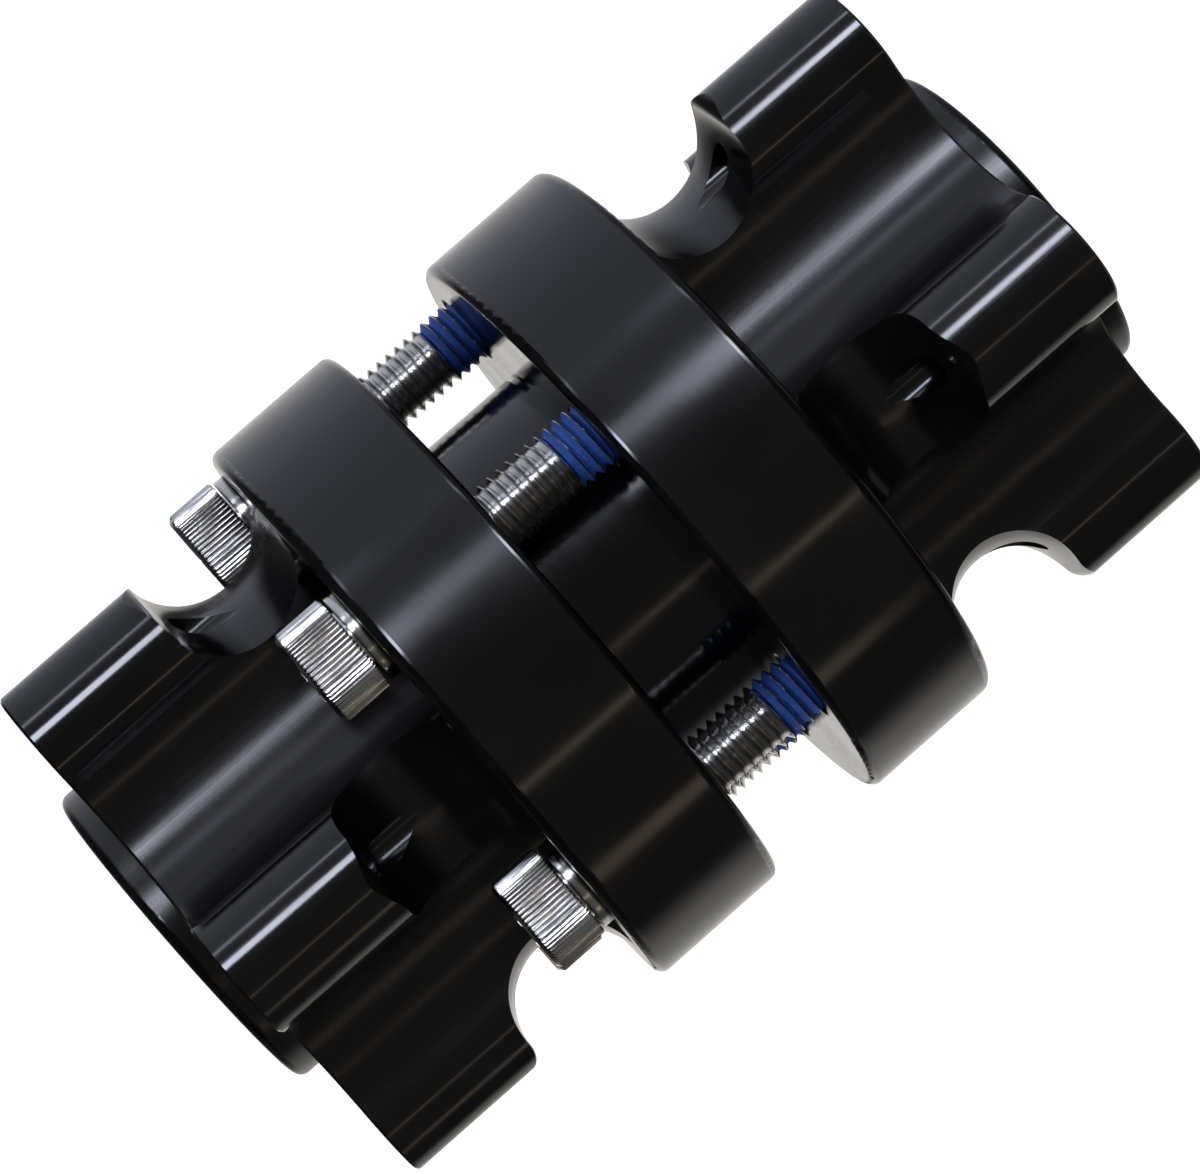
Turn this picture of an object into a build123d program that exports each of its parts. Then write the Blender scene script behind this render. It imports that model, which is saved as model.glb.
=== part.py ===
"""Two-piece flanged hub coupling with five clamp screws and two sealed ball bearings.

The coupling stands upright on the boss of its lower half, with its axis on +Z and the origin at
the centre of that boss's end face. The two halves are mirror images about the middle of the gap
between their flanges. The upper half's spigot crosses the gap into the lower flange, and slides
deeper as the five screws draw the halves together on whatever is clamped between them.
"""

import os
from math import cos, radians, sin

from build123d import *

os.makedirs("parts", exist_ok=True)

# ---------------------------------------------------------------- driving dimensions (mm)

# Overall stack, measured along the axis from one boss face to the other
overall_length = 149.2
boss_height = 3.8
flange_thickness = 21.1
flange_gap = 17.0

# Radii of the turned shape
flange_radius = 46.0
boss_radius = 24.55
spigot_radius = 27.75
bore_radius = 17.0

# Five-lobed barrel: round lobes joined by round hollows that clear the boss
lobe_count = 5
lobe_tip_radius = 44.0
lobe_round = 8.95
hollow_floor_radius = 25.6
first_lobe_angle = -90.0
screw_circle_radius = 36.7

# Turned groove between each barrel and its flange
groove_radius = 9.5
groove_lip_round = 2.3

# Edge breaks
flange_outer_round = 1.6
flange_inner_round = 1.3
boss_round = 1.5
lobe_edge_break = 0.4
hole_edge_break = 0.4
bore_edge_break = 0.5

# Spigot and its register in the lower flange
spigot_engagement = 3.5
register_depth = 17.9
register_clearance = 0.05
spigot_relief_width = 0.9
spigot_relief_depth = 0.5
spigot_relief_land = 0.2

# Tapped holes in the lobe ends, 1/4-20
lobe_hole_circle_radius = 34.93
lobe_hole_radius = 2.6

# Clamp screws, 3/8-16 x 2 in socket heads, and their lock washers
screw_radius = 4.7
screw_length = 50.8
head_radius = 7.15
head_height = 7.7
head_bevel = 0.7
socket_across_flats = 7.94
socket_depth = 4.6
screw_point_chamfer = 0.8
screw_clearance_radius = 5.1
tapped_radius = 4.95
washer_radius = 6.7
washer_hole_radius = 4.95
washer_thickness = 1.6
washer_play = 0.3
patch_thickness = 0.12
patch_length = 9.7
patch_below_flange = 5.1

# Sealed ball bearings, 17 x 40 x 12
bearing_bore_radius = 8.5
bearing_outer_radius = 20.0
bearing_width = 12.0
bearing_recess = 3.0
inner_ring_radius = 12.3
outer_ring_inner_radius = 16.7
ball_circle_radius = 14.25
ball_radius = 3.2
race_radius = 3.45
ball_count = 8
cage_half_thickness = 0.7
cage_width = 8.0
cage_pocket_clearance = 0.15
seal_inner_radius = 12.6
seal_thickness = 1.0
seal_recess = 0.4

# Retaining rings in the boss mouths
ring_outer_radius = 21.2
ring_inner_radius = 18.4
ring_thickness = 1.7
ring_groove_radius = 21.25
ring_groove_width = 1.8
ring_opening = 11.0
ring_lug_radius = 2.3
ring_lug_hole_radius = 1.0

# Spacer tube between the bearings' inner rings
spacer_radius = 11.0
spacer_bore_radius = 8.75
slide_travel = 14.0
spacer_end_play = 0.2

# ---------------------------------------------------------------- derived places

middle = overall_length / 2
flange_inner_face = middle - flange_gap / 2
flange_outer_face = flange_inner_face - flange_thickness
upper_inner_face = middle + flange_gap / 2
groove_centre_radius = lobe_tip_radius - 2.2
groove_centre_height = flange_outer_face - groove_radius
groove_lip_height = groove_centre_height - groove_radius
lobe_pitch = 360 / lobe_count
lobe_centre_radius = lobe_tip_radius - lobe_round
half_pitch_cosine = cos(radians(lobe_pitch / 2))
hollow_round = (
    lobe_centre_radius**2
    + hollow_floor_radius**2
    - 2 * lobe_centre_radius * hollow_floor_radius * half_pitch_cosine
    - lobe_round**2
) / (2 * (lobe_round - hollow_floor_radius + lobe_centre_radius * half_pitch_cosine))
hollow_centre_radius = hollow_floor_radius + hollow_round
screw_angles = [first_lobe_angle + lobe_pitch * (i + 0.5) for i in range(lobe_count)]
lobe_angles = [first_lobe_angle + lobe_pitch * i for i in range(lobe_count)]
middle_plane = Plane.XY.offset(middle)

bearing_bottom = bearing_recess
bearing_top = bearing_recess + bearing_width
bearing_middle = bearing_recess + bearing_width / 2
head_top = flange_outer_face - washer_thickness - washer_play
spacer_length = overall_length - 2 * bearing_top - slide_travel - spacer_end_play


def polar(radius, angle):
    """Point at a radius and an angle in degrees."""
    return Vector(radius * cos(radians(angle)), radius * sin(radians(angle)))


def finish(name, part):
    """Label a finished piece and write its STEP file."""
    part.label = name
    export_step(part, f"parts/{name}.step")


# ---------------------------------------------------------------- hub halves


def lobed_outline():
    """Draw the barrel's outline: a round lobe, then a hollow tangent to it, five times."""
    for angle in lobe_angles:
        lobe = polar(lobe_centre_radius, angle)
        before = polar(hollow_centre_radius, angle - lobe_pitch / 2)
        after = polar(hollow_centre_radius, angle + lobe_pitch / 2)
        start = lobe + (before - lobe).normalized() * lobe_round
        end = lobe + (after - lobe).normalized() * lobe_round
        hollow_floor = polar(hollow_floor_radius, angle + lobe_pitch / 2)
        next_lobe = polar(lobe_centre_radius, angle + lobe_pitch)
        next_start = next_lobe + (after - next_lobe).normalized() * lobe_round
        ThreePointArc(start, polar(lobe_tip_radius, angle), end)
        ThreePointArc(end, hollow_floor, next_start)


def hub_half():
    """Make what both halves share, as the lower one: flange, lobed barrel, boss and bores."""
    with BuildPart() as half:
        # Flange disc with rounded rim
        with BuildSketch(Plane.XY.offset(flange_outer_face)):
            Circle(flange_radius)
        extrude(amount=flange_thickness)
        fillet(half.edges().filter_by(GeomType.CIRCLE).sort_by(Axis.Z)[0], flange_outer_round)
        fillet(half.edges().filter_by(GeomType.CIRCLE).sort_by(Axis.Z)[-1], flange_inner_round)

        # Five-lobed barrel
        with BuildSketch(Plane.XY.offset(boss_height)):
            with BuildLine():
                lobed_outline()
            make_face()
        extrude(amount=flange_outer_face - boss_height)
        chamfer(half.faces().sort_by(Axis.Z)[0].edges(), lobe_edge_break)

        # Boss
        with BuildSketch(Plane.XY):
            Circle(boss_radius)
        extrude(amount=boss_height)
        fillet(half.edges().filter_by(GeomType.CIRCLE).sort_by(Axis.Z)[0], boss_round)

        # Turned groove between barrel and flange, with a rounded lip on the barrel side
        lip_radius = groove_centre_radius + groove_lip_round
        with BuildSketch(Plane.XZ):
            with BuildLine():
                Polyline(
                    (groove_centre_radius, flange_outer_face),
                    (flange_radius + 1, flange_outer_face),
                    (flange_radius + 1, groove_lip_height - groove_lip_round),
                    (lip_radius, groove_lip_height - groove_lip_round),
                )
                RadiusArc(
                    (lip_radius, groove_lip_height - groove_lip_round),
                    (groove_centre_radius, groove_lip_height),
                    -groove_lip_round,
                )
                ThreePointArc(
                    (groove_centre_radius, groove_lip_height),
                    (groove_centre_radius - groove_radius, groove_centre_height),
                    (groove_centre_radius, flange_outer_face),
                )
            make_face()
        revolve(axis=Axis.Z, mode=Mode.SUBTRACT)

        # Through bore, bearing seat and retaining ring groove
        with BuildSketch(Plane.XY):
            Circle(bore_radius)
        extrude(amount=flange_inner_face, mode=Mode.SUBTRACT)
        with BuildSketch(Plane.XY):
            Circle(bearing_outer_radius)
        extrude(amount=bearing_top, mode=Mode.SUBTRACT)
        with BuildSketch(Plane.XY.offset(bearing_bottom - ring_groove_width)):
            Circle(ring_groove_radius)
        extrude(amount=ring_groove_width, mode=Mode.SUBTRACT)
        chamfer(
            half.edges().filter_by(GeomType.CIRCLE).group_by(Axis.Z)[0].sort_by(SortBy.RADIUS)[0],
            bore_edge_break,
        )

        # Tapped holes in the lobe ends, which run out in the groove
        with BuildSketch(Plane.XY.offset(boss_height)):
            with PolarLocations(lobe_hole_circle_radius, lobe_count, start_angle=first_lobe_angle):
                Circle(lobe_hole_radius)
        extrude(amount=groove_centre_height - boss_height, mode=Mode.SUBTRACT)
    return half.part


def rim_of_holes(part, face_height, radius):
    """Pick the circular edges of one radius that lie in a face across the axis."""
    rims = part.edges().filter_by(GeomType.CIRCLE).filter_by_position(
        Axis.Z, face_height - 0.01, face_height + 0.01
    )
    return rims.filter_by(lambda edge: abs(edge.radius - radius) < 0.01)


with BuildPart() as lower_hub:
    add(hub_half())
    # Register that the spigot slides in
    with BuildSketch(Plane.XY.offset(flange_inner_face)):
        Circle(spigot_radius + register_clearance)
    extrude(amount=-register_depth, mode=Mode.SUBTRACT)
    # Clearance holes for the screws
    with BuildSketch(Plane.XY.offset(flange_outer_face)):
        with PolarLocations(screw_circle_radius, lobe_count, start_angle=screw_angles[0]):
            Circle(screw_clearance_radius)
    extrude(amount=flange_thickness, mode=Mode.SUBTRACT)
    chamfer(rim_of_holes(lower_hub, flange_inner_face, screw_clearance_radius), hole_edge_break)
    chamfer(
        rim_of_holes(lower_hub, flange_inner_face, spigot_radius + register_clearance),
        hole_edge_break,
    )
finish("lower_hub", lower_hub.part)

with BuildPart() as upper_hub:
    add(mirror(hub_half(), about=middle_plane, mode=Mode.PRIVATE))
    # Spigot, with a relief turned into it just short of the flange
    with BuildSketch(Plane.XY.offset(upper_inner_face)):
        Circle(spigot_radius)
        Circle(bore_radius, mode=Mode.SUBTRACT)
    extrude(amount=-(flange_gap + spigot_engagement))
    chamfer(
        upper_hub.edges().filter_by(GeomType.CIRCLE).group_by(Axis.Z)[0], hole_edge_break
    )
    with BuildSketch(Plane.XY.offset(upper_inner_face - spigot_relief_land)):
        Circle(spigot_radius)
        Circle(spigot_radius - spigot_relief_depth, mode=Mode.SUBTRACT)
    extrude(amount=-spigot_relief_width, mode=Mode.SUBTRACT)
    # Tapped holes for the screws, right through the flange
    with BuildSketch(Plane.XY.offset(upper_inner_face)):
        with PolarLocations(screw_circle_radius, lobe_count, start_angle=screw_angles[0]):
            Circle(tapped_radius)
    extrude(amount=flange_thickness, mode=Mode.SUBTRACT)
    chamfer(rim_of_holes(upper_hub, upper_inner_face, tapped_radius), hole_edge_break)
finish("upper_hub", upper_hub.part)

# ---------------------------------------------------------------- screws, washers, patches

for number, angle in enumerate(screw_angles, start=1):
    screw_centre = polar(screw_circle_radius, angle)
    head_plane = Plane(origin=(screw_centre.X, screw_centre.Y, head_top))

    with BuildPart() as clamp_screw:
        with BuildSketch(head_plane):
            Circle(head_radius)
        extrude(amount=-head_height)
        chamfer(clamp_screw.edges().sort_by(Axis.Z)[0], head_bevel)
        with BuildSketch(head_plane.offset(-head_height)):
            RegularPolygon(socket_across_flats / 2, 6, major_radius=False)
        extrude(amount=socket_depth, mode=Mode.SUBTRACT)
        with BuildSketch(head_plane):
            Circle(screw_radius)
        extrude(amount=screw_length)
        chamfer(clamp_screw.edges().sort_by(Axis.Z)[-1], screw_point_chamfer)
    finish(f"clamp_screw_{number}", clamp_screw.part)

    with BuildPart() as lock_washer:
        with BuildSketch(head_plane.offset(washer_play)):
            Circle(washer_radius)
            Circle(washer_hole_radius, mode=Mode.SUBTRACT)
        extrude(amount=washer_thickness)
    finish(f"lock_washer_{number}", lock_washer.part)

    with BuildPart() as thread_patch:
        patch_bottom = upper_inner_face - patch_below_flange
        with BuildSketch(head_plane.offset(patch_bottom - head_top)):
            Circle(screw_radius + patch_thickness)
            Circle(screw_radius, mode=Mode.SUBTRACT)
        extrude(amount=patch_length)
    finish(f"thread_patch_{number}", thread_patch.part)

# ---------------------------------------------------------------- bearings and retaining rings


def ring_of_section(inner, outer, bottom, height):
    """Make a plain ring on the axis."""
    with BuildPart() as ring:
        with BuildSketch(Plane.XY.offset(bottom)):
            Circle(outer)
            Circle(inner, mode=Mode.SUBTRACT)
        extrude(amount=height)
    return ring.part


def race_ring(inner, outer):
    """Make a bearing ring with the ball groove turned into it."""
    with BuildPart() as ring:
        add(ring_of_section(inner, outer, bearing_bottom, bearing_width))
        with BuildSketch(Plane.XZ):
            with Locations((ball_circle_radius, bearing_middle)):
                Circle(race_radius)
        revolve(axis=Axis.Z, mode=Mode.SUBTRACT)
    return ring.part


def ball_set():
    """Make the balls, as separate solids."""
    with BuildPart(Plane.XY.offset(bearing_middle)) as balls:
        with PolarLocations(ball_circle_radius, ball_count):
            Sphere(ball_radius)
    return balls.part


def ball_cage():
    """Make the cage, a thin ring with a round pocket drilled through it for each ball."""
    with BuildPart() as cage:
        add(
            ring_of_section(
                ball_circle_radius - cage_half_thickness,
                ball_circle_radius + cage_half_thickness,
                bearing_middle - cage_width / 2,
                cage_width,
            )
        )
        with Locations(Location((0, 0, bearing_middle))):
            with PolarLocations(ball_circle_radius, ball_count):
                Cylinder(
                    ball_radius + cage_pocket_clearance,
                    4 * cage_half_thickness,
                    rotation=(0, 90, 0),
                    mode=Mode.SUBTRACT,
                )
    return cage.part


def retaining_ring():
    """Make an internal retaining ring: an open ring with a drilled lug at each end."""
    lug_height = ring_opening / 2 + ring_lug_radius
    lug_reach = (ring_inner_radius**2 - lug_height**2) ** 0.5 - ring_lug_radius / 3
    with BuildPart() as ring:
        with BuildSketch(Plane.XY.offset(bearing_bottom - ring_thickness)):
            Circle(ring_outer_radius)
            Circle(ring_inner_radius, mode=Mode.SUBTRACT)
            with Locations((ring_outer_radius, 0)):
                Rectangle(ring_outer_radius, ring_opening, mode=Mode.SUBTRACT)
            with Locations((lug_reach, lug_height), (lug_reach, -lug_height)):
                Circle(ring_lug_radius)
                Circle(ring_lug_hole_radius, mode=Mode.SUBTRACT)
        extrude(amount=ring_thickness)
    return ring.part


lower_pieces = {
    "bearing_outer_ring": race_ring(outer_ring_inner_radius, bearing_outer_radius),
    "bearing_inner_ring": race_ring(bearing_bore_radius, inner_ring_radius),
    "bearing_balls": ball_set(),
    "bearing_cage": ball_cage(),
    "bearing_outboard_seal": ring_of_section(
        seal_inner_radius, outer_ring_inner_radius, bearing_bottom + seal_recess, seal_thickness
    ),
    "bearing_inboard_seal": ring_of_section(
        seal_inner_radius,
        outer_ring_inner_radius,
        bearing_top - seal_recess - seal_thickness,
        seal_thickness,
    ),
    "retaining_ring": retaining_ring(),
}
for piece_name, piece in lower_pieces.items():
    finish(f"lower_{piece_name}", piece)
    finish(f"upper_{piece_name}", mirror(piece, about=middle_plane))

with BuildPart() as spacer_tube:
    with BuildSketch(Plane.XY.offset(bearing_top)):
        Circle(spacer_radius)
        Circle(spacer_bore_radius, mode=Mode.SUBTRACT)
    extrude(amount=spacer_length)
finish("spacer_tube", spacer_tube.part)
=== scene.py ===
"""Looks of the flanged hub coupling.

The hubs, bearings and rings are the CAD nodes with procedural finishes. The clamp screws, their
washers and their locking patches are rebuilt here in finer detail: knurled socket heads, a real
helical thread, and blue patches that lie in the thread. Every length is in metres.
"""

from math import cos, floor, pi, radians, sin

import bpy
from mathutils import Matrix, Vector


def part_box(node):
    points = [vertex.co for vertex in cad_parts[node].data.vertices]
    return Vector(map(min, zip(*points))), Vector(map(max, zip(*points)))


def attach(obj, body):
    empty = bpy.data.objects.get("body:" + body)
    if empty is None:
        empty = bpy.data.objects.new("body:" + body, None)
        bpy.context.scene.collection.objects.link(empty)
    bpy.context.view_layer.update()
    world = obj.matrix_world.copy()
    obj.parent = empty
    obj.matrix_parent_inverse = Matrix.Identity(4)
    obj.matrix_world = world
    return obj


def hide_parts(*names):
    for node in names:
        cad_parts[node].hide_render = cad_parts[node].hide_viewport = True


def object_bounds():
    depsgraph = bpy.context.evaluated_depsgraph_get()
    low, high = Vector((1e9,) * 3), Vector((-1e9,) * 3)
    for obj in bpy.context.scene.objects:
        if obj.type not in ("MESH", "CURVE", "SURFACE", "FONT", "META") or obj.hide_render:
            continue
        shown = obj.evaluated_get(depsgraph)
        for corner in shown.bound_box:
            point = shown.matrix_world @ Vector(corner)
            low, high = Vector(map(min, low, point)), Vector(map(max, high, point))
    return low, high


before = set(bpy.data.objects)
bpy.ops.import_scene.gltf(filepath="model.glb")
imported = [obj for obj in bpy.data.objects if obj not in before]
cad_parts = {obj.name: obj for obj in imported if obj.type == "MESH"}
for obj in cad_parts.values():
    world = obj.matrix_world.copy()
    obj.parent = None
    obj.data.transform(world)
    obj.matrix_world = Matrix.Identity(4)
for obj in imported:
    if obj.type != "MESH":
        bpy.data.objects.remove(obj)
cad_low, cad_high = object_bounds()

MM = 0.001
SCREWS = range(1, 6)

# ---------------------------------------------------------------- dimensions

# Clamp screw, 3/8-16 socket head
HEAD_RADIUS = 7.13 * MM
HEAD_BEVEL = 0.75 * MM
KNURL_RIBS = 66
KNURL_DEPTH = 0.36 * MM
KNURL_STEPS = 8
UNDER_HEAD_BEVEL = 0.3 * MM
WASHER_PLAY = 0.3 * MM
SOCKET_ACROSS_FLATS = 7.94 * MM
SOCKET_DEPTH = 4.6 * MM
SOCKET_LEAD_IN = 0.25 * MM
DRILL_POINT_SHARE = 0.94  # width of the drill point's cone, as a share of the socket's width
SOCKET_DRILL_POINT = 0.9 * MM
SHANK_RADIUS = 4.69 * MM
THREAD_PITCH = 1.5875 * MM
THREAD_DEPTH = 0.93 * MM
THREAD_LENGTH = 31.75 * MM
THREAD_POINT = 0.9 * MM
THREAD_SEGMENTS = 96
SMOOTH_SEGMENTS = 96

# One pitch of the thread's section: place along the pitch, and depth as a share of the full depth
THREAD_SECTION = (
    (-0.05, 0.03),
    (0.0, 0.0),
    (0.05, 0.03),
    (0.23, 0.5),
    (0.41, 0.95),
    (0.50, 1.0),
    (0.59, 0.95),
    (0.77, 0.5),
)

# Locking patch: it fills the thread from flank to flank and leaves the crests bare
PATCH_SECTION = (
    (0.065, 0.06),
    (0.23, 0.46),
    (0.40, 0.84),
    (0.50, 0.88),
    (0.60, 0.84),
    (0.77, 0.46),
    (0.935, 0.06),
)
PATCH_THICKNESS = 0.05 * MM

WASHER_EDGE = 0.16 * MM
WASHER_HOLE_RADIUS = 4.95 * MM

# Length of each barrel, from the end of the hub to the flange
BARREL_LENGTH = 45.0 * MM

# Radii between which the barrel's finish gets glossier
LOBE_GLOSS_START = 28 * MM
LOBE_GLOSS_END = 38 * MM

# Quads flatter than this, where a helix is cut off at its ends, are left out
SLIVER_HEIGHT = 1e-7

# ---------------------------------------------------------------- mesh helpers


def mesh_piece(name, vertices, faces, sharp_angle=40):
    """Make an object of a mesh with smooth faces and sharp edges above an angle."""
    mesh = bpy.data.meshes.new(name)
    mesh.from_pydata(vertices, [], faces)
    mesh.validate()
    mesh.shade_smooth()
    mesh.set_sharp_from_angle(angle=radians(sharp_angle))
    piece = bpy.data.objects.new(name, mesh)
    bpy.context.scene.collection.objects.link(piece)
    return piece


def revolve_rings(centre, rings, segments):
    """Skin a stack of rings about a vertical axis. A ring is a radius, or a function of the
    angle that gives one, and a height."""
    vertices, faces = [], []
    for radius, height in rings:
        for step in range(segments):
            angle = 2 * pi * step / segments
            here = radius(angle) if callable(radius) else radius
            vertices.append((centre.x + here * cos(angle), centre.y + here * sin(angle), height))
    for ring in range(len(rings) - 1):
        for step in range(segments):
            after = (step + 1) % segments
            low, high = ring * segments, (ring + 1) * segments
            faces.append((low + step, low + after, high + after, high + step))
    return vertices, faces


def helix_points(centre, section, radius_at, bottom, top):
    """Sweep a thread's section along a right-hand helix between two heights."""
    points = []
    turns = int((top - bottom) / THREAD_PITCH) + 2
    columns = THREAD_SEGMENTS + 1
    for turn in range(-1, turns):
        for share, depth in section:
            for step in range(columns):
                part = step / THREAD_SEGMENTS
                angle = 2 * pi * part
                height = bottom + THREAD_PITCH * (turn + share + part)
                height = min(max(height, bottom), top)
                here = radius_at(depth, height)
                points.append((centre.x + here * cos(angle), centre.y + here * sin(angle), height))
    return points, columns, turns + 1


# ---------------------------------------------------------------- clamp screws


def socket_radius(angle):
    """Radius of the hexagon socket's wall at an angle."""
    from_flat = (angle + pi / 6) % (pi / 3) - pi / 6
    return SOCKET_ACROSS_FLATS / 2 / cos(from_flat)


def socket_mouth(angle):
    """Radius of the socket's round lead-in, which the hexagon's corners break through."""
    return max(socket_radius(angle), SOCKET_ACROSS_FLATS / 2 + SOCKET_LEAD_IN)


def knurled(outer):
    """A knurled ring: pointed ribs with rounded roots, cut off at an outer radius."""

    def radius(angle):
        phase = KNURL_RIBS * angle / (2 * pi)
        rib = abs(2 * (phase - floor(phase)) - 1)
        return min(outer, HEAD_RADIUS - KNURL_DEPTH * (1 - rib) ** 1.25)

    return radius


def clamp_screw(number):
    """Build one screw: knurled head with its socket, plain shank and rolled thread."""
    low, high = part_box(f"clamp_screw_{number}")
    centre = (low + high) / 2
    socket_end = low.z
    under_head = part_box(f"lock_washer_{number}")[0].z - WASHER_PLAY
    tip = high.z
    thread_start = tip - THREAD_LENGTH
    bevel = HEAD_BEVEL
    floor_height = socket_end + SOCKET_DEPTH

    rings = [
        (0.0, floor_height + SOCKET_DRILL_POINT),
        (SOCKET_ACROSS_FLATS / 2 * DRILL_POINT_SHARE, floor_height),
        (socket_radius, floor_height),
        (socket_radius, socket_end + SOCKET_LEAD_IN),
        (socket_mouth, socket_end),
        (HEAD_RADIUS - bevel * 1.15, socket_end),
        (HEAD_RADIUS - bevel * 0.95, socket_end + bevel * 0.05),
        (knurled(HEAD_RADIUS - bevel * 0.55), socket_end + bevel * 0.45),
        (knurled(HEAD_RADIUS - bevel * 0.25), socket_end + bevel * 0.75),
        (knurled(HEAD_RADIUS), socket_end + bevel * 1.05),
        (knurled(HEAD_RADIUS), under_head - UNDER_HEAD_BEVEL),
        (knurled(HEAD_RADIUS - UNDER_HEAD_BEVEL), under_head - UNDER_HEAD_BEVEL * 0.15),
        (HEAD_RADIUS - UNDER_HEAD_BEVEL * 1.6, under_head),
        (SHANK_RADIUS, under_head),
        (SHANK_RADIUS, thread_start),
        (SHANK_RADIUS - THREAD_DEPTH, thread_start + THREAD_PITCH / 2),
    ]
    vertices, faces = revolve_rings(centre, rings, KNURL_RIBS * KNURL_STEPS)

    def thread_radius(depth, height):
        point = THREAD_POINT - (tip - height)
        return SHANK_RADIUS - max(THREAD_DEPTH * depth, point)

    add_helix(vertices, faces, centre, THREAD_SECTION, thread_radius, thread_start, tip, True)

    # Flat end of the screw
    rim = SHANK_RADIUS - THREAD_DEPTH
    end, end_faces = revolve_rings(centre, [(rim, tip), (0.0, tip)], SMOOTH_SEGMENTS)
    shift = len(vertices)
    vertices += end
    faces += [tuple(shift + corner for corner in face) for face in end_faces]
    return mesh_piece(f"knurled_screw_{number}", vertices, faces, 32)


def add_helix(vertices, faces, centre, section, radius_at, bottom, top, closed):
    """Add a helical skin to a mesh. A closed section joins each turn to the next."""
    points, columns, turns = helix_points(centre, section, radius_at, bottom, top)
    shift = len(vertices)
    vertices += points
    rows = turns * len(section)
    for row in range(rows - 1):
        if not closed and row % len(section) == len(section) - 1:
            continue
        for step in range(columns - 1):
            here = shift + row * columns + step
            quad = (here, here + 1, here + columns + 1, here + columns)
            heights = [vertices[corner][2] for corner in quad]
            if max(heights) - min(heights) > SLIVER_HEIGHT:
                faces.append(quad)


def locking_patch(number):
    """Build the blue patch that lies in the last turns of a screw's thread."""
    low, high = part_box(f"thread_patch_{number}")
    centre = (low + high) / 2
    vertices, faces = [], []

    def radius_at(depth, height):
        return SHANK_RADIUS - THREAD_DEPTH * depth + PATCH_THICKNESS

    screw_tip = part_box(f"clamp_screw_{number}")[1].z
    thread_start = screw_tip - THREAD_LENGTH
    whole_turns = round((low.z - thread_start) / THREAD_PITCH)
    bottom = thread_start + whole_turns * THREAD_PITCH
    add_helix(vertices, faces, centre, PATCH_SECTION, radius_at, bottom, high.z, False)
    return mesh_piece(f"locking_patch_{number}", vertices, faces, 60)


def washer(number):
    """Build one washer with rounded edges."""
    low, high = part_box(f"lock_washer_{number}")
    centre = (low + high) / 2
    outer = (high.x - low.x) / 2
    inner = WASHER_HOLE_RADIUS
    edge = WASHER_EDGE
    rings = [
        (inner, low.z + edge),
        (inner + edge * 0.3, low.z + edge * 0.3),
        (inner + edge, low.z),
        (outer - edge, low.z),
        (outer - edge * 0.3, low.z + edge * 0.3),
        (outer, low.z + edge),
        (outer, high.z - edge),
        (outer - edge * 0.3, high.z - edge * 0.3),
        (outer - edge, high.z),
        (inner + edge, high.z),
        (inner + edge * 0.3, high.z - edge * 0.3),
        (inner, high.z - edge),
        (inner, low.z + edge),
    ]
    vertices, faces = revolve_rings(centre, rings, SMOOTH_SEGMENTS)
    return mesh_piece(f"washer_{number}", vertices, faces, 50)


# ---------------------------------------------------------------- material helpers


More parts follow.
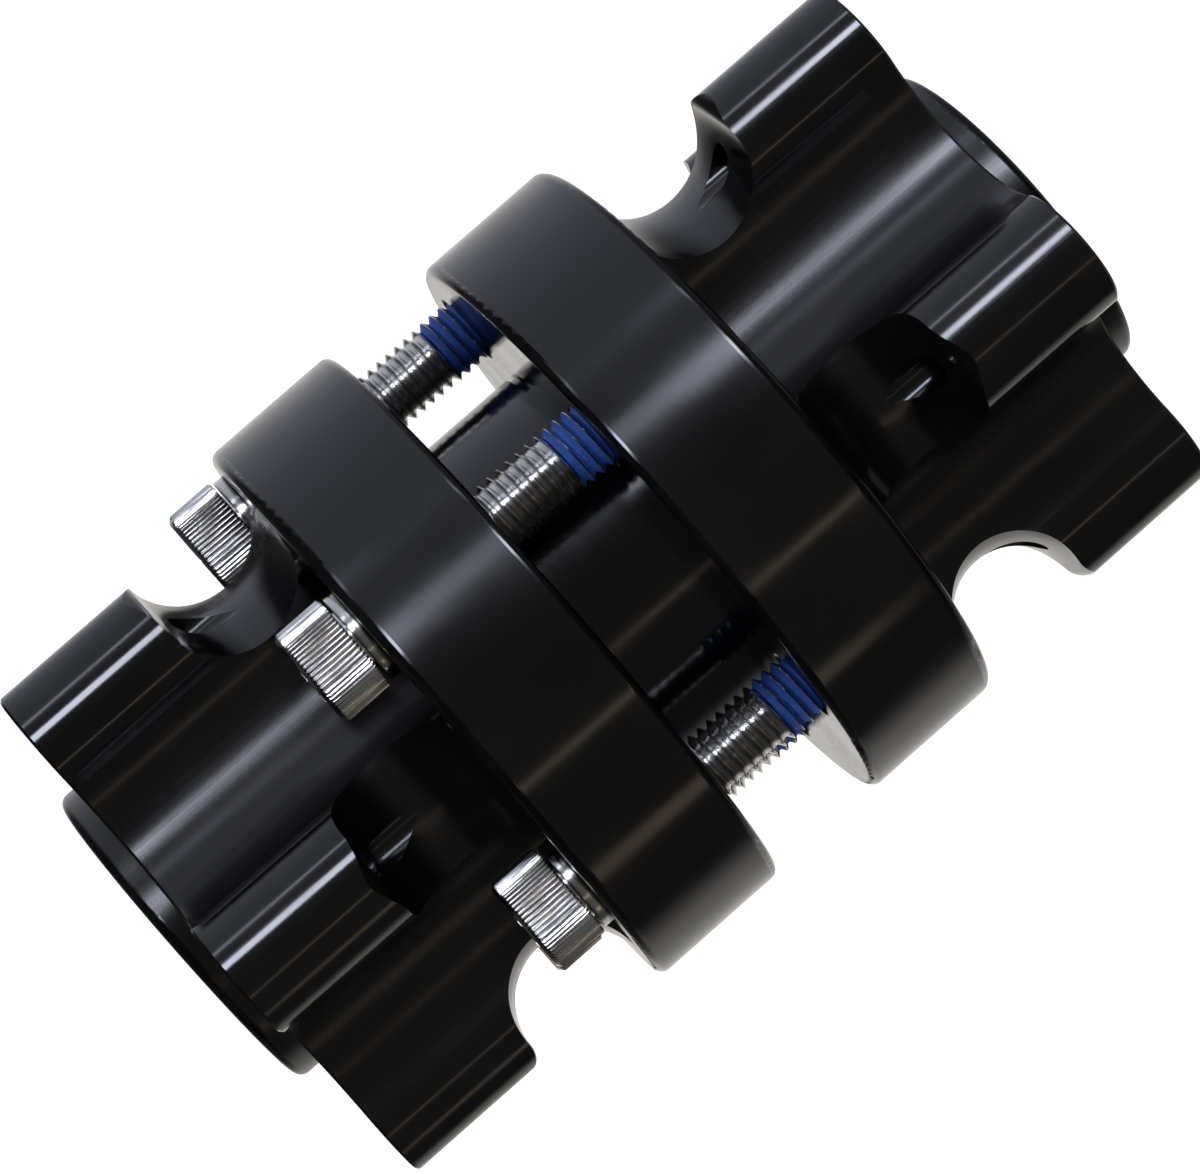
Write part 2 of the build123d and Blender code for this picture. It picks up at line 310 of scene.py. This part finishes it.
class Shader:
    """A material's node tree, with short ways to add the nodes used here."""

    def __init__(self, name):
        self.material = bpy.data.materials.new(name)
        self.material.use_nodes = True
        self.tree = self.material.node_tree
        self.tree.nodes.clear()
        self.surface = self.node("ShaderNodeBsdfPrincipled")
        output = self.node("ShaderNodeOutputMaterial")
        self.link(self.surface.outputs["BSDF"], output.inputs["Surface"])
        self.place = self.node("ShaderNodeTexCoord").outputs["Object"]

    def node(self, kind):
        return self.tree.nodes.new(kind)

    def link(self, source, target):
        self.tree.links.new(source, target)

    def math(self, operation, first, second=None):
        """A Math node. A number is set on its socket, and anything else is linked to it."""
        made = self.node("ShaderNodeMath")
        made.operation = operation
        for socket, value in zip(made.inputs, (first, second)):
            if value is None:
                continue
            if isinstance(value, (int, float)):
                socket.default_value = value
            else:
                self.link(value, socket)
        return made.outputs[0]

    def stretched_noise(self, scale, detail=3.0, source=None):
        """Noise with its own scale along x, y and z."""
        mapping = self.node("ShaderNodeMapping")
        mapping.inputs["Scale"].default_value = scale
        self.link(source or self.place, mapping.inputs["Vector"])
        noise = self.node("ShaderNodeTexNoise")
        noise.inputs["Scale"].default_value = 1.0
        noise.inputs["Detail"].default_value = detail
        self.link(mapping.outputs["Vector"], noise.inputs["Vector"])
        return noise.outputs["Fac"]

    def turned_place(self):
        """Coordinates that don't change round the part's axis (radius, height, nothing), and
        the height."""
        split = self.node("ShaderNodeSeparateXYZ")
        self.link(self.place, split.inputs["Vector"])
        across, along = split.outputs["X"], split.outputs["Y"]
        squares = self.math(
            "ADD",
            self.math("MULTIPLY", across, across),
            self.math("MULTIPLY", along, along),
        )
        joined = self.node("ShaderNodeCombineXYZ")
        self.link(self.math("SQRT", squares), joined.inputs["X"])
        self.link(split.outputs["Z"], joined.inputs["Y"])
        return joined.outputs["Vector"], split.outputs["Z"]

    def blend(self, factor, first, second):
        """A float Mix node."""
        mix = self.node("ShaderNodeMix")
        mix.data_type = "FLOAT"
        self.link(factor, mix.inputs["Factor"])
        for socket, value in ((mix.inputs["A"], first), (mix.inputs["B"], second)):
            if isinstance(value, (int, float)):
                socket.default_value = value
            else:
                self.link(value, socket)
        return mix.outputs["Result"]

    def ramp(self, factor, low, high, start=0.0, end=1.0):
        """Map a factor to a range of numbers."""
        mapped = self.node("ShaderNodeMapRange")
        mapped.interpolation_type = "SMOOTHSTEP"
        mapped.inputs["From Min"].default_value = start
        mapped.inputs["From Max"].default_value = end
        mapped.inputs["To Min"].default_value = low
        mapped.inputs["To Max"].default_value = high
        self.link(factor, mapped.inputs["Value"])
        return mapped.outputs["Result"]

    def colours(self, factor, dark, light, start=0.3, end=0.7):
        """Map a factor to a range of colours, and use it as the base colour."""
        ramp = self.node("ShaderNodeValToRGB")
        ramp.color_ramp.elements[0].position = start
        ramp.color_ramp.elements[0].color = (*dark, 1)
        ramp.color_ramp.elements[1].position = end
        ramp.color_ramp.elements[1].color = (*light, 1)
        self.link(factor, ramp.inputs["Fac"])
        self.link(ramp.outputs["Color"], self.surface.inputs["Base Color"])

    def bump(self, height, strength, depth):
        """Raise the surface by a height map."""
        made = self.node("ShaderNodeBump")
        made.inputs["Strength"].default_value = strength
        made.inputs["Distance"].default_value = depth
        self.link(height, made.inputs["Height"])
        self.link(made.outputs["Normal"], self.surface.inputs["Normal"])

    def fixed(self, **values):
        """Set sockets of the shader that are the same all over."""
        for name, value in values.items():
            self.surface.inputs[name.replace("_", " ")].default_value = value

    def rough(self, factor, low, high):
        """Map a factor to a range of roughness."""
        self.link(self.ramp(factor, low, high), self.surface.inputs["Roughness"])


def black_anodised():
    """Glossy black with fine grain: lengthwise on the barrels, turned on the flanges."""
    shader = Shader("black_anodised")
    turned, height = shader.turned_place()
    middle = (cad_low.z + cad_high.z) / 2
    from_middle = shader.math("ABSOLUTE", shader.math("SUBTRACT", height, middle))
    flange_edge = (cad_high.z - cad_low.z) / 2 - BARREL_LENGTH
    lengthwise_here = shader.math("GREATER_THAN", from_middle, flange_edge)
    lengthwise = shader.stretched_noise((2600, 2600, 14), 4)
    rings = shader.stretched_noise((1500, 2600, 1), 3, turned)
    grain = shader.blend(lengthwise_here, rings, lengthwise)
    cloud = shader.stretched_noise((90, 90, 45), 5)
    shader.colours(cloud, (0.0012, 0.0012, 0.0014), (0.0030, 0.0029, 0.0030))
    # The barrels are glossiest on the lobes, which stand out from the body between them
    split = shader.node("ShaderNodeSeparateXYZ")
    shader.link(turned, split.inputs["Vector"])
    radius = split.outputs["X"]
    lobe_gloss = shader.ramp(radius, 0.25, 0.13, LOBE_GLOSS_START, LOBE_GLOSS_END)
    barrel_gloss = shader.math("ADD", lobe_gloss, shader.ramp(lengthwise, -0.02, 0.03, 0.3, 0.7))
    flange_gloss = shader.ramp(rings, 0.13, 0.16, 0.3, 0.7)
    gloss = shader.blend(lengthwise_here, flange_gloss, barrel_gloss)
    haze = shader.ramp(cloud, -0.02, 0.03, 0.35, 0.65)
    shader.link(shader.math("ADD", gloss, haze), shader.surface.inputs["Roughness"])
    shader.bump(grain, 0.05, 0.003 * MM)
    shader.fixed(Metallic=0.0, IOR=1.6)
    return shader.material


def plated(name, dark, light, roughness, bump_depth):
    """Bright zinc plate with faint clouding and fine scratches."""
    shader = Shader(name)
    cloud = shader.stretched_noise((260, 260, 260), 3)
    fine = shader.stretched_noise((5200, 5200, 5200), 2)
    shader.colours(cloud, dark, light)
    shader.rough(fine, roughness[0], roughness[1])
    shader.bump(fine, 0.03, bump_depth)
    shader.fixed(Metallic=1.0)
    return shader.material


def blue_patch():
    """Matt blue nylon, sprayed on, with a grainy surface."""
    shader = Shader("blue_patch")
    grains = shader.stretched_noise((3200, 3200, 3200), 4)
    shader.colours(grains, (0.006, 0.028, 0.15), (0.016, 0.075, 0.34))
    shader.rough(grains, 0.5, 0.75)
    shader.bump(grains, 0.5, 0.03 * MM)
    shader.fixed(Metallic=0.0)
    return shader.material


def turned_metal(name, dark, light, roughness, metallic=1.0, depth=0.006 * MM):
    """Metal with fine turned or ground rings."""
    shader = Shader(name)
    turned, _ = shader.turned_place()
    rings = shader.stretched_noise((2800, 2800, 1), 4, turned)
    cloud = shader.stretched_noise((150, 150, 150), 3)
    shader.colours(cloud, dark, light)
    shader.rough(rings, roughness[0], roughness[1])
    shader.bump(rings, 0.3, depth)
    shader.fixed(Metallic=metallic)
    return shader.material


def seal_rubber():
    """Black rubber with moulded rings and a dusty sheen."""
    shader = Shader("seal_rubber")
    turned, _ = shader.turned_place()
    rings = shader.stretched_noise((900, 1, 1), 2, turned)
    grain = shader.stretched_noise((2400, 2400, 2400), 4)
    shader.colours(grain, (0.010, 0.010, 0.011), (0.022, 0.022, 0.023))
    shader.rough(grain, 0.42, 0.62)
    shader.bump(shader.math("ADD", rings, shader.math("MULTIPLY", grain, 0.3)), 0.5, 0.05 * MM)
    shader.fixed(Metallic=0.0)
    return shader.material


def paint(node_name, material):
    """Give every material slot of a CAD node one material."""
    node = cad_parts[node_name]
    if not node.material_slots:
        node.data.materials.append(None)
    for place in node.material_slots:
        place.link = "OBJECT"
        place.material = material


# ---------------------------------------------------------------- the object

anodised = black_anodised()
zinc = plated("zinc_screw", (0.70, 0.69, 0.67), (0.86, 0.85, 0.83), (0.15, 0.24), 0.002 * MM)
zinc_flat = plated("zinc_washer", (0.58, 0.57, 0.54), (0.74, 0.73, 0.70), (0.17, 0.27), 0.002 * MM)
blue = blue_patch()
bearing_steel = turned_metal("bearing_steel", (0.50, 0.50, 0.51), (0.62, 0.62, 0.63), (0.12, 0.24))
cage_steel = turned_metal("cage_steel", (0.42, 0.41, 0.39), (0.55, 0.54, 0.52), (0.25, 0.4))
spring_steel = turned_metal("spring_steel", (0.06, 0.06, 0.065), (0.10, 0.10, 0.105), (0.3, 0.45), 0.85)
aluminium = turned_metal("spacer_aluminium", (0.72, 0.72, 0.73), (0.82, 0.82, 0.83), (0.22, 0.36))
rubber = seal_rubber()

for half in ("lower", "upper"):
    paint(f"{half}_hub", anodised)
    paint(f"{half}_bearing_outer_ring", bearing_steel)
    paint(f"{half}_bearing_inner_ring", bearing_steel)
    paint(f"{half}_bearing_balls", bearing_steel)
    paint(f"{half}_bearing_cage", cage_steel)
    paint(f"{half}_bearing_outboard_seal", rubber)
    paint(f"{half}_bearing_inboard_seal", rubber)
    paint(f"{half}_retaining_ring", spring_steel)
paint("spacer_tube", aluminium)

for number in SCREWS:
    for piece, node_name, body, material, slot_name in (
        (clamp_screw(number), "clamp_screw", f"screw_{number}", zinc, "zinc_screw"),
        (locking_patch(number), "thread_patch", f"screw_{number}", blue, "patch_blue"),
        (washer(number), "lock_washer", "lower_half", zinc_flat, "zinc_washer"),
    ):
        piece.data.materials.append(material)
        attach(piece, body)
        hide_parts(f"{node_name}_{number}")

# ---------------------------------------------------------------- camera

# The camera stands 14 degrees round from the first lobe and a little below the middle. It is
# rolled so that the axis climbs to the upper right.
FIRST_LOBE = -90.0  # degrees round the axis
LOBE_TURN = 14.0  # degrees
AXIS_TILT = 0.0697  # radians
AXIS_ROLL = 41.2  # degrees
FOCAL_LENGTH = 130.5  # millimetres, on a sensor 36 mm wide
SENSOR_WIDTH = 36.0
CAMERA_DISTANCE = 0.5855
AIM_HEIGHT = 0.07343
AIM_SIDE = 0.00147

up = Vector((0, 0, 1))
front = Vector((cos(radians(FIRST_LOBE - LOBE_TURN)), sin(radians(FIRST_LOBE - LOBE_TURN)), 0))
side = up.cross(front)
along_axis = cos(AXIS_TILT) * up + sin(AXIS_TILT) * front
looking = sin(AXIS_TILT) * up - cos(AXIS_TILT) * front
roll = radians(AXIS_ROLL)
image_right = cos(roll) * along_axis + sin(roll) * side
image_up = sin(roll) * along_axis - cos(roll) * side

camera_data = bpy.data.cameras.new("camera")
camera_data.lens = FOCAL_LENGTH
camera_data.sensor_width = SENSOR_WIDTH
camera_data.clip_start = 0.01
camera_data.clip_end = 50.0
camera = bpy.data.objects.new("camera", camera_data)
turn = Matrix((image_right, image_up, -looking)).transposed().to_4x4()
aim = AIM_HEIGHT * up + AIM_SIDE * side
camera.matrix_world = Matrix.Translation(aim - CAMERA_DISTANCE * looking) @ turn
bpy.context.scene.collection.objects.link(camera)
bpy.context.scene.camera = camera

# ---------------------------------------------------------------- studio

# Brightness of the room round the object. Azimuth 0 is the camera's side, and positive azimuths
# go towards the lower right of the picture.
ROOM = {
    "behind, left": (-180, 0.85),
    "left wall, far end": (-120, 0.55),
    "left wall, near end": (-62, 0.46),
    "left of the camera": (-38, 0.22),
    "camera side": (0, 0.09),
    "right of the camera": (60, 0.08),
    "right wall": (112, 0.04),
    "behind, right": (132, 0.50),
    "behind": (180, 0.85),
}
COOL = (0.93, 0.98, 1.17)
WARM = (1.25, 0.98, 0.68)
OFF_WHITE = (1.03, 1.0, 0.95)
SEEN_WHITE = 1.1

FLOOR_REACH = 8.0
FLOOR_CLEARANCE = 0.1 * MM  # keeps the floor out of the plane of the lower end face


def softbox(name, azimuth, height, distance, width, length, brightness, colour=(1, 1, 1)):
    """An upright strip of soft light, as bright per area as asked."""
    light = bpy.data.lights.new(name, "AREA")
    light.shape = "RECTANGLE"
    light.size, light.size_y = width, length
    light.energy = brightness * pi * width * length
    light.color = colour
    lamp = bpy.data.objects.new(name, light)
    angle = radians(azimuth)
    direction = cos(angle) * front + sin(angle) * side
    across = up.cross(direction)
    facing = Matrix((across, up, direction)).transposed().to_4x4()
    lamp.matrix_world = Matrix.Translation(distance * direction + height * up) @ facing
    bpy.context.scene.collection.objects.link(lamp)


# The key light is far brighter at its two ends than in the middle, so the barrels get strong
# highlights and the flanges stay dark
MIDDLE = (cad_low.z + cad_high.z) / 2
AWAY = 1.2
for end, height, length in (("low", MIDDLE - 0.31, 0.55), ("high", MIDDLE + 0.50, 0.60)):
    softbox(f"key_{end}", -27, height, AWAY, 0.20, length, 13.0, COOL)
    softbox(f"side_{end}", -54, height, AWAY, 0.09, length, 3.0, COOL)
softbox("key_middle", -29, MIDDLE + 0.08, AWAY, 0.15, 0.20, 1.6, COOL)
softbox("warm_fill", 78, MIDDLE, AWAY, 0.12, 0.30, 0.6, WARM)
softbox("warm_strip", 36, MIDDLE, AWAY, 0.03, 1.2, 1.3, WARM)


def studio_world():
    """White where the camera sees it directly. Reflections and light come from the room."""
    world = bpy.data.worlds.new("studio")
    world.use_nodes = True
    tree = world.node_tree
    tree.nodes.clear()

    def node(kind):
        return tree.nodes.new(kind)

    def towards(direction):
        dot = node("ShaderNodeVectorMath")
        dot.operation = "DOT_PRODUCT"
        dot.inputs[1].default_value = direction
        tree.links.new(place.outputs["Generated"], dot.inputs[0])
        return dot.outputs["Value"]

    def ramp_of(value, start, end, first, last):
        mapped = node("ShaderNodeMapRange")
        mapped.interpolation_type = "SMOOTHSTEP"
        mapped.inputs["From Min"].default_value = start
        mapped.inputs["From Max"].default_value = end
        mapped.inputs["To Min"].default_value = first
        mapped.inputs["To Max"].default_value = last
        tree.links.new(value, mapped.inputs["Value"])
        return mapped.outputs["Result"]

    place = node("ShaderNodeTexCoord")
    azimuth = node("ShaderNodeMath")
    azimuth.operation = "ARCTAN2"
    tree.links.new(towards(side), azimuth.inputs[0])
    tree.links.new(towards(front), azimuth.inputs[1])
    share = node("ShaderNodeMapRange")
    share.inputs["From Min"].default_value = -pi
    share.inputs["From Max"].default_value = pi
    tree.links.new(azimuth.outputs[0], share.inputs["Value"])
    room_shade = node("ShaderNodeValToRGB")
    room_shade.color_ramp.interpolation = "EASE"
    stops = room_shade.color_ramp.elements
    places = sorted(ROOM.values())
    while len(stops) < len(places):
        stops.new(0.5)
    for stop, (degrees, brightness) in zip(stops, places):
        stop.position = (degrees + 180) / 360
        tint = COOL if -150 < degrees < 0 else OFF_WHITE
        stop.color = (*(brightness * part for part in tint), 1)
    tree.links.new(share.outputs["Result"], room_shade.inputs["Fac"])

    # Dark under the object, and dimmer overhead
    room = node("ShaderNodeBackground")
    tree.links.new(room_shade.outputs["Color"], room.inputs["Color"])
    below = ramp_of(towards(up), -0.45, -0.15, 0.06, 1.0)
    above = ramp_of(towards(up), 0.25, 0.70, 1.0, 0.22)
    height_shade = node("ShaderNodeMath")
    height_shade.operation = "MULTIPLY"
    tree.links.new(below, height_shade.inputs[0])
    tree.links.new(above, height_shade.inputs[1])
    tree.links.new(height_shade.outputs[0], room.inputs["Strength"])
    seen = node("ShaderNodeBackground")
    seen.inputs["Color"].default_value = (1, 1, 1, 1)
    seen.inputs["Strength"].default_value = SEEN_WHITE
    rays = node("ShaderNodeLightPath")
    mix = node("ShaderNodeMixShader")
    tree.links.new(rays.outputs["Is Camera Ray"], mix.inputs["Fac"])
    tree.links.new(room.outputs["Background"], mix.inputs[1])
    tree.links.new(seen.outputs["Background"], mix.inputs[2])
    output = node("ShaderNodeOutputWorld")
    tree.links.new(mix.outputs["Shader"], output.inputs["Surface"])
    bpy.context.scene.world = world


def studio_floor():
    """A pale floor that reads as white, and that the glossy surfaces don't mirror."""
    reach = FLOOR_REACH
    low = cad_low.z - FLOOR_CLEARANCE
    mesh = bpy.data.meshes.new("floor")
    outline = ((-reach, -reach), (reach, -reach), (reach, reach), (-reach, reach))
    corners = [(x, y, low) for x, y in outline]
    mesh.from_pydata(corners, [], [(0, 1, 2, 3)])
    floor_object = bpy.data.objects.new("floor", mesh)
    bpy.context.scene.collection.objects.link(floor_object)
    shader = Shader("pale_floor")
    cloud = shader.stretched_noise((3, 3, 3), 2)
    shader.colours(cloud, (0.86, 0.86, 0.86), (0.9, 0.9, 0.9))
    shader.fixed(Roughness=0.9, Emission_Color=(1, 1, 1, 1), Emission_Strength=1.05)
    mesh.materials.append(shader.material)
    floor_object.visible_glossy = False


studio_world()
studio_floor()
bpy.context.scene.view_settings.view_transform = "Standard"
